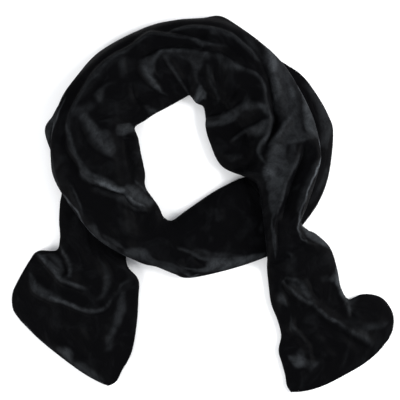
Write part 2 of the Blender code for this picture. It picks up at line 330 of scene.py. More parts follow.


# The lines of the folds and of the painted sheen were read from the photo, in which the camera was
# about this high.
PHOTO_WIDTH_MM = 480.0
LENS_MM = 85.0
SENSOR_MM = 36.0
PHOTO_MIDDLE = (-4.8, 5.4)
SHARP_HEIGHT = 8.0
CAMERA_ABOVE = PHOTO_WIDTH_MM * LENS_MM / SENSOR_MM + SHARP_HEIGHT
GRID_CELL = 2.0
GRID_HALF = 270.0
GRID_SIDE = int(2 * GRID_HALF / GRID_CELL) + 2
LAYER_GAP = 1.2
LEAST_RISE = 0.6
UNEVENNESS = ((0.9, 26, 3.1), (0.45, 11, 7.7))  # rise, wave size, seed


def ground_height(ground, places):
    """Height of what lies under each place, read between the grid's cells."""
    spot = (places + GRID_HALF) / GRID_CELL
    cell = np.floor(spot).astype(int)
    f, g = spot[..., 0] - cell[..., 0], spot[..., 1] - cell[..., 1]
    i, j = cell[..., 0], cell[..., 1]
    near = ground[i, j] * (1 - f) + ground[i + 1, j] * f
    far = ground[i, j + 1] * (1 - f) + ground[i + 1, j + 1] * f
    return near * (1 - g) + far * g


def top_grid(surface):
    """The grid of heights that the cloth's upper face makes."""
    grid = np.zeros((GRID_SIDE, GRID_SIDE))
    cell = np.round((surface[..., 0:2] + GRID_HALF) / GRID_CELL).astype(int)
    np.maximum.at(grid, (cell[..., 0], cell[..., 1]), surface[..., 2] + WALL / 2 + LAYER_GAP)
    return grid


def settled(tops, spread=3, soften=4):
    """What the next layer rests on: the cloth below, spread and softened as a layer bridges it."""
    top = np.max([top_grid(surface) for surface in tops], axis=0)
    near = [(i, j) for i in (-1, 0, 1) for j in (-1, 0, 1)]
    for _ in range(spread):
        top = np.max([np.roll(top, step, axis=(0, 1)) for step in near], axis=0)
    for _ in range(soften):
        top = sum(np.roll(top, step, axis=(0, 1)) for step in near) / 9
    return top


def seen_from_above(places, heights):
    """Where the camera above the scarf sees places, since the higher cloth looks a little
    larger."""
    nearness = (CAMERA_ABOVE - SHARP_HEIGHT) / (CAMERA_ABOVE - heights)
    return np.array(PHOTO_MIDDLE) + (places - PHOTO_MIDDLE) * nearness[..., None]


def laid_surface(at, folds, ground):
    """The cloth's middle surface as it lies, one row of points for each section."""
    places, rise, free = section_points(at)
    seen = seen_from_above(places, rise + ground + WALL)
    lift = sum(rise_of_fold * fold_shape(seen, *fold) for rise_of_fold, *fold in folds)
    for most, size, seed in UNEVENNESS:
        lift = lift + most * ripple(places, size, seed)
    folded = np.maximum(rise + free * blurred(lift), np.minimum(rise, WALL + LEAST_RISE))
    return np.concatenate([places, (folded + ground + WALL / 2)[..., None]], axis=2)


def cloth_piece(name, surface, along, painted_sheen, hem_first, hem_last):
    """A closed wall of cloth round a middle surface, with rounded hems, measured maps and its
    painted sheen."""
    tangent, across = np.gradient(surface, axis=0), np.gradient(surface, axis=1)
    across[:, TUCK_POINTS], across[:, -1 - TUCK_POINTS] = across[:, 0], across[:, -1]
    normals = np.cross(across, tangent)
    normals /= np.linalg.norm(normals, axis=2)[..., None]
    half = np.full(len(surface), WALL / 2)
    for is_hem, ends in ((hem_first, slice(0, 4)), (hem_last, slice(-1, -5, -1))):
        if is_hem:
            back = HEM_ROUNDING[-1] - np.array(HEM_ROUNDING)
            half[ends] = np.sqrt(np.maximum((WALL / 2) ** 2 - back**2, HEM_EDGE**2))
    rows, columns = surface.shape[:2]
    outside = surface + normals * half[:, None, None]
    inside = (surface - normals * half[:, None, None])[::2, ::2]
    points = np.concatenate([outside.reshape(-1, 3), inside.reshape(-1, 3)])
    points = (points - (MIDDLE_X, 0, 0)) / 1000
    fine = np.arange(rows * columns).reshape(rows, columns)
    coarse = fine.size + np.arange(inside[..., 0].size).reshape(inside.shape[:2])
    faces = []
    for grid, order in ((fine, (0, 1, 2, 3)), (coarse, (3, 2, 1, 0))):
        corners = (grid[:-1, :-1], grid[:-1, 1:], grid[1:, 1:], grid[1:, :-1])
        faces.extend(np.stack([corners[k].ravel() for k in order], 1).tolist())
    rims = [
        np.concatenate([grid[0, :-1], grid[:-1, -1], grid[-1, :0:-1], grid[:0:-1, 0]])
        for grid in (fine, coarse)
    ]
    first, middle, last = rims[0][::2], rims[0][1::2], np.roll(rims[0][::2], -1)
    near, far = rims[1], np.roll(rims[1], -1)
    for corners in ((middle, first, near), (near, far, middle), (last, middle, far)):
        faces.extend(np.stack(corners, 1).tolist())
    mesh = bpy.data.meshes.new(name)
    mesh.from_pydata(points.tolist(), [], faces)
    mesh.shade_smooth()
    breadth = np.linalg.norm(np.diff(surface, axis=1), axis=2).cumsum(1)
    breadth = np.concatenate([np.zeros((rows, 1)), breadth], 1)
    flat = np.stack([np.broadcast_to(along[:, None], breadth.shape), breadth], 2) / 1000
    flat = np.concatenate([flat.reshape(-1, 2), flat[::2, ::2].reshape(-1, 2)])
    loops = np.empty(len(mesh.loops), int)
    mesh.loops.foreach_get("vertex_index", loops)
    mesh.uv_layers.new(name="cloth").data.foreach_set("uv", flat[loops].ravel())
    # The painted highlights of sheen, kept on the mesh as an attribute that the velvet reads.
    light = np.concatenate([painted_sheen.ravel(), painted_sheen[::2, ::2].ravel()])
    mesh.attributes.new("painted_sheen", "FLOAT", "POINT").data.foreach_set("value", light)
    piece = bpy.data.objects.new(name, mesh)
    bpy.context.scene.collection.objects.link(piece)
    return piece


# Black silk velvet, woven and dyed: the upright pile swallows the light seen from above and glances
# grey where it is seen along the surface. Its black is lightened at random where the pile is
# crushed, and painted highlights of sheen are mixed into its colour along the folds' crests and in
# listed patches.
def linear(hex_colour):
    """An sRGB hex colour as the linear colour that a shader takes."""
    parts = [int(hex_colour[k : k + 2], 16) / 255 for k in (1, 3, 5)]
    light = [v / 12.92 if v <= 0.04045 else ((v + 0.055) / 1.055) ** 2.4 for v in parts]
    return (*light, 1.0)


def add(tree, kind, links=(), **settings):
    """Adds a node, sets its sockets and properties by name, and links its inputs."""
    node = tree.nodes.new(kind)
    for key, value in settings.items():
        if key in node.inputs:
            node.inputs[key].default_value = value
        else:
            setattr(node, key, value)
    for socket, source in dict(links).items():
        tree.links.new(source, node.inputs[socket])
    return node


# The sizes of the crush, of its patches and of the tufts of pile are in metres on the cloth. The
# tufts are drawn coarser than the real pile, which is too fine to show.
PILE_BLACK = "#030304"
# The grey that both the random crush and the painted highlights of sheen lighten the black towards.
PILE_CRUSHED_AND_SHEEN = "#595d61"
CRUSH_SIZE = 0.022
PATCH_SIZE = 0.011
PILE_TUFT = 0.0016

# What each pattern is turned into: its lowest and highest value, and what these become.
RANGE = ("From Min", "From Max", "To Min", "To Max")
CRUSHED_SPOTS = dict(zip(RANGE, (0.5, 0.8, 0.0, 0.027)))
UNEVEN_PILE = dict(zip(RANGE, (0.3, 0.7, 0.75, 1.25)))
THINNED_PILE = dict(zip(RANGE, (0.34, 0.6, 0.45, 1.15)))
PILE_GLOSS = dict(zip(RANGE, (0.0, 0.4, 0.62, 0.42)))

velvet = bpy.data.materials.new("black_silk_velvet")
velvet.use_nodes = True
tree = velvet.node_tree
shader = tree.nodes["Principled BSDF"]
cloth_map = add(tree, "ShaderNodeUVMap", uv_map="cloth")
# The painted highlights of sheen, added to the random crush: they lighten the colour and lower the
# roughness.
painted_sheen_node = add(tree, "ShaderNodeAttribute", attribute_name="painted_sheen")
crush = add(tree, "ShaderNodeTexNoise", {"Vector": cloth_map.outputs["UV"]},
            Scale=1 / CRUSH_SIZE, Detail=3.0, Roughness=0.55, Distortion=0.6)
tufts = add(tree, "ShaderNodeTexNoise", {"Vector": cloth_map.outputs["UV"]},
            Scale=1 / PILE_TUFT, Detail=2.0, Roughness=0.6)
crushed_spots = add(tree, "ShaderNodeMapRange", {"Value": crush.outputs["Fac"]}, **CRUSHED_SPOTS)
crush_and_painted_sheen = add(tree, "ShaderNodeMath", {0: crushed_spots.outputs["Result"], 1: painted_sheen_node.outputs["Fac"]},
            operation="ADD", use_clamp=True)
uneven = add(tree, "ShaderNodeMapRange", {"Value": tufts.outputs["Fac"]}, **UNEVEN_PILE)
patchy = add(tree, "ShaderNodeTexNoise", {"Vector": cloth_map.outputs["UV"]},
             Scale=1 / PATCH_SIZE, Detail=4.0, Roughness=0.6, Distortion=0.4)
thinned = add(tree, "ShaderNodeMapRange", {"Value": patchy.outputs["Fac"]}, **THINNED_PILE)
thinned_crush_and_sheen = add(tree, "ShaderNodeMath", {0: crush_and_painted_sheen.outputs["Value"], 1: thinned.outputs["Result"]},
             operation="MULTIPLY")
mottled_crush_and_sheen = add(tree, "ShaderNodeMath", {0: thinned_crush_and_sheen.outputs["Value"], 1: uneven.outputs["Result"]},
              operation="MULTIPLY", use_clamp=True)
pile_colour_with_sheen = add(tree, "ShaderNodeMix", {"Factor": mottled_crush_and_sheen.outputs["Value"]}, data_type="RGBA")
pile_colour_with_sheen.inputs["A"].default_value = linear(PILE_BLACK)
pile_colour_with_sheen.inputs["B"].default_value = linear(PILE_CRUSHED_AND_SHEEN)
gloss = add(tree, "ShaderNodeMapRange", {"Value": crush_and_painted_sheen.outputs["Value"]}, **PILE_GLOSS)
relief = add(tree, "ShaderNodeBump", {"Height": tufts.outputs["Fac"]},
             Strength=0.35, Distance=0.0004)
creases = add(tree, "ShaderNodeBump",
              {"Height": crush.outputs["Fac"], "Normal": relief.outputs["Normal"]},
              Strength=0.5, Distance=0.003)
tree.links.new(pile_colour_with_sheen.outputs["Result"], shader.inputs["Base Color"])
tree.links.new(gloss.outputs["Result"], shader.inputs["Roughness"])
tree.links.new(creases.outputs["Normal"], shader.inputs["Normal"])
shader.inputs["Specular IOR Level"].default_value = 0.02
shader.inputs["Sheen Weight"].default_value = 0.07
shader.inputs["Sheen Roughness"].default_value = 0.2
shader.inputs["Sheen Tint"].default_value = linear("#d4dbe6")

# Painted highlights of sheen on the lower run, along lines: how light, up to the full light set
# next, half widths to the left and to the right of the line, and the points of the line.
PAINTED_SHEEN_FULL = 1.84
PAINTED_SHEEN_GAMMA = 2.05
# Faint painted highlights along the crests of the high, steep folds, and which folds get them.
CREST_LIGHT = 0.45
CREST_WIDTH = 2.2
CREST_LEAST_RISE = 3
CREST_MOST_SLOPE = 5
LOWER_PAINTED_SHEEN_LINES = (
    # beside the pleat where the left end flares
    (1.1, 1.4, 1.4, ((-200, -60), (-190, -69), (-182, -79), (-175, -88))),
    (0.95, 2, 1.4, ((-180, -86), (-166, -92), (-152, -98), (-139, -104))),
    (1.0, 1.3, 1.3, ((-170, -54), (-164, -64), (-161, -76), (-163, -85), (-174, -90))),
    # the long curved pleat below it
    (1.15, 1.8, 1.8, ((-195, -109), (-184, -112), (-172, -116), (-160, -120), (-148, -125))),
    (1.0, 1.6, 1.6, ((-165, -118), (-148, -126), (-134, -128), (-122, -125), (-114, -118),
                     (-109, -110))),
    (0.5, 1.8, 1.8, ((-107, -109), (-98, -96), (-86, -90))),
    # along the hem
    (0.7, 1.8, 1.8, ((-216, -140), (-202, -158), (-188, -169), (-176, -176))),
    (0.6, 1.8, 1.8, ((-178, -174), (-160, -188), (-140, -203), (-120, -216))),
    # the turn where it shows outside the ring
    (0.65, 6, 7, ((-164, 136), (-175, 118), (-184, 100), (-187, 84), (-184, 60))),
    (0.52, 8, 6, ((126, 146), (138, 126), (145, 108), (148, 90), (147, 66))),
    (0.45, 4, 4, ((148, 46), (145, 34), (140, 22))),
    (0.35, 5, 5, ((140, 24), (134, 12), (124, -2))),
)

# Painted highlights of sheen on the lower run in whole patches: how light, how soft the edge is,
# and the points of the outline.
LOWER_PAINTED_SHEEN_PATCHES = (
    (0.44, 4, ((122, 148), (134, 136), (144, 118), (150, 100), (153, 84), (150, 66), (139, 68),
               (141, 84), (137, 100), (134, 116), (128, 130), (118, 142))),
    (0.72, 3, ((-199, -60), (-188, -69), (-180, -80), (-174, -89), (-170, -87), (-175, -78),
               (-182, -71), (-189, -64), (-191, -60))),
    (0.52, 3, ((-190, -60), (-176, -59), (-171, -66), (-168, -78), (-170, -86), (-177, -76),
               (-184, -66))),
    (0.54, 2.5, ((-212, -79), (-206, -83), (-200, -94), (-190, -101), (-180, -106), (-168, -113),
                 (-182, -115), (-195, -111), (-206, -104), (-210, -92))),
    (0.5, 2.5, ((-128, -55), (-124, -66), (-118, -77), (-111, -86), (-111, -96), (-115, -104),
                (-121, -112), (-130, -114), (-123, -106), (-121, -96), (-120, -84), (-125, -70))),
    (0.49, 3, ((-101, -104), (-94, -104), (-94, -128), (-99, -143), (-107, -157), (-110, -166),
               (-119, -167), (-119, -158), (-110, -146), (-108, -130), (-104, -118))),
    (0.38, 5, ((-107, -158), (-108, -176), (-120, -178), (-118, -160))),
    (0.23, 5, ((-152, -142), (-144, -143), (-136, -156), (-146, -153))),
    (0.72, 3, ((-176, -170), (-163, -171), (-158, -178), (-156, -190), (-166, -184), (-178, -175))),
    (0.59, 4, ((-154, -188), (-143, -191), (-130, -200), (-118, -212), (-132, -210), (-146, -202),
               (-156, -194))),
)


STRAYING = ((2.0, 17, 4.2), (1.2, 5, 9.6))  # how far, wave size, seed
OTHER_SEED = 10


def strayed(places):
    """Places moved a little this way and that, so that what is drawn by them has uneven edges."""
    moved = places.copy()
    for axis in (0, 1):
        moved[..., axis] += sum(
            most * ripple(places, size, seed + OTHER_SEED * axis) for most, size, seed in STRAYING
        )
    return moved


def painted_sheen_marks(surface, patches, facets, folds):
    """The painted sheen, from 0 to 1: painted highlights in the listed lines and patches, and
    faintly along the folds' crests."""
    crests = seen_from_above(surface[..., 0:2], surface[..., 2] + WALL / 2)
    places = strayed(crests)
    marks = [light * leaf_shape(places, *patch) for light, *patch in patches]
    marks += [light * facet_shape(places, *facet) for light, *facet in facets]
    for rise, left, right, fade, line in folds:
        if rise > CREST_LEAST_RISE and min(left, right) <= CREST_MOST_SLOPE:
            marks.append(CREST_LIGHT * leaf_shape(crests, CREST_WIDTH, CREST_WIDTH, line))
    return (blurred(np.max(marks, axis=0)) / PAINTED_SHEEN_FULL) ** PAINTED_SHEEN_GAMMA


lower_at, along = stations_between(0, UNDER_RING_SEAM)
lower_surface = laid_surface(lower_at, LOWER_FOLDS, 0.0)
# The lower run's painted highlights of sheen.
lower_painted_sheen = painted_sheen_marks(lower_surface, LOWER_PAINTED_SHEEN_LINES, LOWER_PAINTED_SHEEN_PATCHES, LOWER_FOLDS)
lower_run = cloth_piece("lower_run", lower_surface, along, lower_painted_sheen, True, False)
lower_run.data.materials.append(velvet)
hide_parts("left_end", "under_turn_left", "under_turn_right")
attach(lower_run, "root")

# The upper run: the same strip goes on as the front of the ring, over the left end's neck, round
# the top in stepped pleats and down the right side, and crosses itself to hang as the right end
# with its turned hem.
RING_FOLDS = (
    # the outer pleat, from the ring's inner edge at the left round to the top
    (7, 4, 34, 0.06, ((-66, -12), (-73, -5), (-88, 4), (-96, 16), (-125, 26), (-142, 38),
                      (-150, 53), (-160, 67), (-162, 87), (-161, 105), (-155, 119), (-146, 135),
                      (-131, 158), (-112, 175), (-89, 188), (-77, 197), (-67, 204), (-59, 205),
                      (-38, 202), (-16, 199), (-2, 193), (12, 191), (26, 190))),
    # creases where that pleat ends
    (2.5, 7, 4, 0.2, ((-132, 30), (-125, 27), (-110, 21), (-96, 15), (-88, 12))),
    (3, 6, 4, 0.25, ((-138, 20), (-122, 16), (-110, 12), (-98, 7))),
    (3, 12, 6, 0.25, ((-106, 6), (-92, -1), (-78, -7), (-62, -4))),
    # the second pleat at the top
    (5, 3, 14, 0.12, ((-46, 203), (-33, 209), (-13, 213), (8, 211), (29, 205), (37, 200), (44, 193),
                      (56, 182), (68, 170))),
    # the edge of the inner pleat
    (7, 4, 30, 0.08, ((-80, 172), (-57, 179), (-50, 183), (-20, 184), (-5, 181), (9, 179),
                      (20, 178), (34, 170), (41, 164), (51, 161), (62, 156), (68, 150), (72, 142),
                      (73, 132), (75, 121), (78, 111), (79, 101), (78, 91), (74, 79), (69, 68),
                      (68, 59), (75, 46))),
    # short folds across the pleats, round the ring's inner edge
    (4, 14, 5, 0.25, ((-152, 108), (-140, 88), (-131, 72), (-119, 62), (-103, 53))),
    (3, 4, 7, 0.3, ((-102, 147), (-116, 144), (-125, 136), (-129, 124), (-131, 112))),
    (3, 4, 10, 0.3, ((-98, 182), (-97, 165), (-94, 146))),
    (4, 8, 4, 0.2, ((-78, 176), (-76, 164), (-69, 152), (-57, 140), (-42, 130))),
    (3, 4, 6, 0.25, ((-50, 183), (-60, 176), (-62, 168), (-61, 160), (-55, 148))),
    (3.5, 9, 3, 0.2, ((-51, 182), (-42, 171), (-35, 161), (-29, 150), (-16, 130))),
    (4, 9, 6, 0.3, ((-4, 158), (-8, 146), (-11, 134), (-6, 118))),
    (3, 4, 6, 0.25, ((8, 172), (8, 155), (12, 142), (19, 124))),
    (2.5, 8, 7, 0.3, ((22, 176), (30, 158), (26, 138))),
    (5, 4, 12, 0.15, ((0, 103), (20, 106), (34, 112), (46, 120), (58, 122), (74, 118))),
    (4, 4, 10, 0.2, ((30, 74), (45, 86), (54, 91), (62, 94), (78, 103))),
    (3, 6, 6, 0.3, ((20, 62), (36, 57), (52, 58))),
    (3, 7, 7, 0.3, ((-112, 91), (-95, 92), (-80, 90))),
    (-3, 5, 5, 0.3, ((-106, 80), (-94, 80), (-80, 80))),
    (-4, 7, 7, 0.3, ((-86, 150), (-84, 132), (-74, 112))),
    (-3, 6, 8, 0.3, ((44, 150), (36, 134), (24, 118))),
    # along the front, between the two ends
    (3, 5, 5, 0.25, ((-165, 36), (-158, 17), (-152, 2), (-143, -18))),
    (3.5, 10, 3, 0.25, ((-34, -50), (-16, -57), (0, -64), (12, -68))),
    (3, 5, 5, 0.3, ((-30, -62), (-27, -70), (-23, -82))),
    (-3, 5, 6, 0.3, ((-14, -63), (-4, -70), (6, -75))),
    (2.5, 8, 8, 0.3, ((17, 0), (19, -10), (18, -24))),
    (2, 12, 12, 0.3, ((-120, -20), (-90, -34), (-60, -42))),
    (2, 14, 10, 0.3, ((-14, -22), (14, -26), (44, -24))),
)
RIGHT_END_FOLDS = (
    # the deep groove between the ring's inner pleat and the cloth that comes down as the right end
    (-2.5, 4, 4, 0.2, ((66, 176), (75, 158), (79, 142), (82, 127), (84, 112), (85, 100))),
    (-5.5, 5, 6, 0.25, ((82, 124), (85, 112), (86, 100), (83, 87), (78, 74), (74, 58))),
    (5, 14, 6, 0.15, ((104, 106), (96, 97), (90, 87), (82, 76), (77, 67), (74, 52))),
    (4, 12, 7, 0.2, ((72, 190), (78, 172), (84, 154), (88, 134), (90, 112))),
    # the ridge along its right side
    (6, 4, 24, 0.1, ((70, 192), (86, 180), (100, 167), (112, 150), (120, 135), (127, 115),
                     (131, 98), (137, 76), (140, 60))),
    (6, 4, 12, 0.12, ((137, 78), (140, 63), (139, 49), (134, 35), (127, 20), (121, 5), (117, -8),
                      (114, -20), (113, -30), (117, -39), (125, -45), (140, -50))),
    # the pocket between it and the inner ridge
    (-8, 22, 6, 0.2, ((124, 78), (118, 60), (113, 46), (107, 30), (101, 12), (96, -6), (93, -24))),
    (5, 4, 14, 0.12, ((118, 68), (113, 57), (106, 42), (100, 30), (95, 16), (91, 2), (87, -12),
                      (84, -24), (84, -40), (86, -64))),
    (3, 7, 9, 0.3, ((98, 84), (108, 82), (120, 80), (132, 76))),
    # folds in the flared part
    (5, 14, 4, 0.08, ((92, -90), (98, -95), (105, -105), (116, -114), (128, -121), (138, -127),
                      (150, -137), (160, -144), (172, -151), (188, -161), (206, -171))),
    (4, 4, 9, 0.2, ((94, -92), (101, -88), (112, -90), (121, -93), (125, -99), (128, -110),
                    (138, -122))),
    (4, 10, 8, 0.25, ((150, -80), (159, -92), (165, -108), (171, -120), (176, -136))),
    (-4, 5, 6, 0.3, ((166, -100), (172, -114), (177, -130), (180, -142))),
    (4, 12, 6, 0.3, ((170, -141), (195, -144), (224, -140))),
    (3, 7, 9, 0.3, ((88, -100), (93, -112), (101, -128))),
    (4, 5, 9, 0.2, ((106, -130), (107, -150), (114, -157), (120, -165), (125, -173), (129, -204))),
    (3, 8, 9, 0.3, ((128, -155), (136, -160), (143, -170))),
    (3, 7, 8, 0.3, ((100, -178), (112, -187), (126, -189), (140, -187))),
    (2.5, 8, 8, 0.3, ((140, -174), (149, -180), (158, -184))),
    (2, 10, 12, 0.3, ((150, -150), (170, -168), (186, -186))),
)
# Painted highlights of sheen on the upper run, along lines, in the same columns as on the lower
# run.
UPPER_PAINTED_SHEEN_LINES = (
    # the outer pleat, and the fan of creases where it ends
    (0.6, 3.5, 3.5, ((-165, 98), (-162, 84), (-160, 72), (-154, 60), (-149, 50))),
    (0.6, 5, 5, ((-157, 66), (-151, 54), (-145, 44), (-137, 36), (-127, 31), (-116, 28),
                 (-104, 23))),
    (0.58, 4, 7, ((-150, 42), (-143, 34), (-135, 29), (-127, 27))),
    (1.84, 1.9, 1.6, ((-131, 28), (-121, 24), (-111, 20), (-103, 17), (-95, 15))),
    (0.85, 3.4, 3.4, ((-132, 29), (-118, 24), (-106, 20), (-94, 16))),
    (0.4, 2.6, 2, ((-138, 20), (-128, 18), (-118, 14), (-108, 10), (-100, 7))),
    (0.4, 3, 3, ((-114, 13), (-104, 9), (-95, 4))),
    (0.5, 2.5, 2.5, ((-85, 30), (-80, 25), (-75, 19), (-69, 11))),
    (1.25, 1.6, 1.2, ((-96, 15), (-91, 8), (-86, 4), (-81, 1.5), (-76, 0), (-71, -2))),
    (0.25, 2, 10, ((-150, 124), (-132, 154), (-112, 174), (-78, 196))),
    (0.55, 1.5, 1.5, ((-158, 112), (-146, 135), (-132, 153), (-112, 175), (-90, 186), (-78, 194),
                      (-62, 204))),
    (0.5, 1.3, 1.3, ((-62, 205), (-40, 203), (-16, 200), (0, 196))),
    (0.6, 1.5, 1.5, ((-18, 200), (-4, 196), (10, 192), (30, 190))),
    # the lower left of the ring
    (0.5, 1.8, 1.8, ((-161, 28), (-157, 19), (-154, 11), (-151, 3), (-148, -6), (-145, -14))),
    (0.5, 2.2, 2.2, ((-166, 130), (-178, 103), (-183, 82), (-183, 62), (-178, 38), (-170, 16))),
    (0.8, 1.5, 1.5, ((-167, 128), (-176, 107), (-181, 90), (-184, 68))),
    (0.95, 1.6, 1.6, ((-171, 14), (-164, 5), (-156, -4), (-149, -12), (-144, -22), (-138, -33))),
    (1.2, 1.6, 1.6, ((-145, -22), (-136, -34), (-126, -43), (-118, -49), (-106, -55), (-96, -60))),
    (0.7, 2, 2, ((-122, -46), (-108, -54), (-96, -60), (-82, -67))),
    (0.45, 5, 3, ((-122, -36), (-112, -42), (-104, -47), (-96, -52))),
    (0.55, 6, 8, ((-96, -57), (-84, -57), (-74, -58), (-62, -64))),
    (0.45, 5, 6, ((-66, -66), (-48, -71), (-32, -76), (-16, -83))),
    # the lower right of the ring
    (0.75, 1.6, 1.6, ((-32, -52), (-20, -57), (-10, -61), (2, -67))),
    (0.62, 2, 2, ((-24, -76), (-8, -77), (8, -79))),
    (0.4, 1.8, 1.8, ((-29, -64), (-26, -73), (-21, -82))),
    (0.9, 1.2, 1.2, ((-27, -81), (-20, -84), (-14, -85), (-5, -83))),
    (0.4, 2.5, 2.5, ((67, 12), (69, 0), (71, -8))),
    (0.4, 3, 3, ((71, -18), (69, -26), (68, -34))),
    # the folds round the ring's inner edge
    (0.28, 2.4, 2.4, ((-105, 124), (-103, 102))),
    (0.65, 1.6, 1.6, ((-48, 180), (-43, 171), (-36, 162), (-28, 148))),
    (0.35, 1.2, 1.2, ((-28, 149), (-16, 130))),
    # the inner pleat, from the top to the right
    (0.85, 1.5, 1.5, ((-72, 177), (-56, 181), (-48, 185), (-30, 185), (-10, 183), (12, 180))),
    (0.6, 1.6, 1.6, ((44, 164), (60, 158), (67, 150), (72, 137), (74, 122))),
    (0.68, 1.4, 1.4, ((34, 76), (44, 84), (54, 90), (60, 92), (70, 99), (79, 103))),
    (0.75, 1.8, 1.8, ((77, 120), (79, 107), (79, 96), (77, 86))),
    (0.95, 2.2, 2.2, ((79, 92), (76, 83), (70, 76), (66, 67), (67, 59), (73, 50))),
    # the second pleat at the top
    (0.6, 1.3, 1.3, ((-47, 205), (-33, 210), (-18, 213), (-4, 213), (12, 211), (24, 208))),
    (0.3, 2.2, 2.2, ((52, 171), (62, 163))),
    # the broad bright side of the cloth that comes down as the right end
    (0.52, 22, 22, ((72, 200), (86, 172), (97, 140), (104, 110), (112, 78))),
    (0.8, 3.5, 1.5, ((75, 160), (80, 148), (81, 140), (84, 130), (85, 118), (88, 104))),
    (0.85, 1.5, 4, ((98, 168), (110, 150), (117, 137), (122, 127), (127, 116))),
    (0.8, 3.2, 3.2, ((107, 108), (99, 99), (93, 90), (86, 80), (78, 71))),
    (0.5, 9, 9, ((84, 72), (97, 76), (112, 80), (128, 84))),
    (0.7, 2.2, 2.2, ((97, 73), (108, 76), (120, 79), (132, 81))),
    (0.4, 6, 8, ((108, 74), (107, 62), (104, 48))),
    (0.62, 1.2, 3.5, ((117, 64), (112, 56), (107, 44), (102, 31), (97, 18), (92, 4), (87, -12))),
    (0.5, 2.4, 2.4, ((84, -10), (83, -24), (84, -40), (86, -64))),
    # along its right side
    (1.25, 1.4, 1.6, ((136, 84), (139, 72), (140, 60), (139, 50), (134, 38), (129, 28), (125, 18),
                      (121, 5))),
    (0.9, 1.3, 1.3, ((126, 20), (121, 5), (117, -8), (114, -18), (113, -30), (117, -40),
                     (128, -46))),
    (0.42, 2, 10, ((139, 54), (130, 32), (122, 10), (115, -12))),
    (0.75, 7, 6, ((115, -22), (126, -36), (137, -42), (152, -52))),
    (0.3, 3, 3, ((98, -56), (104, -60), (108, -66))),
    (0.2, 9, 9, ((104, -70), (107, -82), (108, -94))),
    # the flared part
    (1.0, 1.3, 1.3, ((95, -90), (103, -101), (111, -109), (120, -115), (132, -122))),
    (0.95, 1.2, 1.2, ((94, -93), (101, -89), (112, -91), (120, -94))),
    (0.85, 1.8, 2, ((124, -115), (140, -127), (150, -136), (160, -142), (172, -149), (188, -159),
                    (206, -170))),
    (0.5, 1.2, 1.2, ((108, -143), (116, -158), (122, -168), (127, -182))),
    (0.5, 1.2, 1.2, ((129, -157), (136, -159), (141, -169))),
    (0.5, 2, 2, ((142, -176), (149, -182))),
    (0.4, 1.6, 1.6, ((125, -190), (130, -204))),
    (0.5, 1.6, 1.6, ((98, -55), (103, -60), (105, -69))),
    (0.8, 2, 5, ((158, -74), (162, -93), (167, -106), (172, -116), (176, -134))),
    (0.18, 6, 6, ((208, -162), (192, -186), (166, -202))),
)
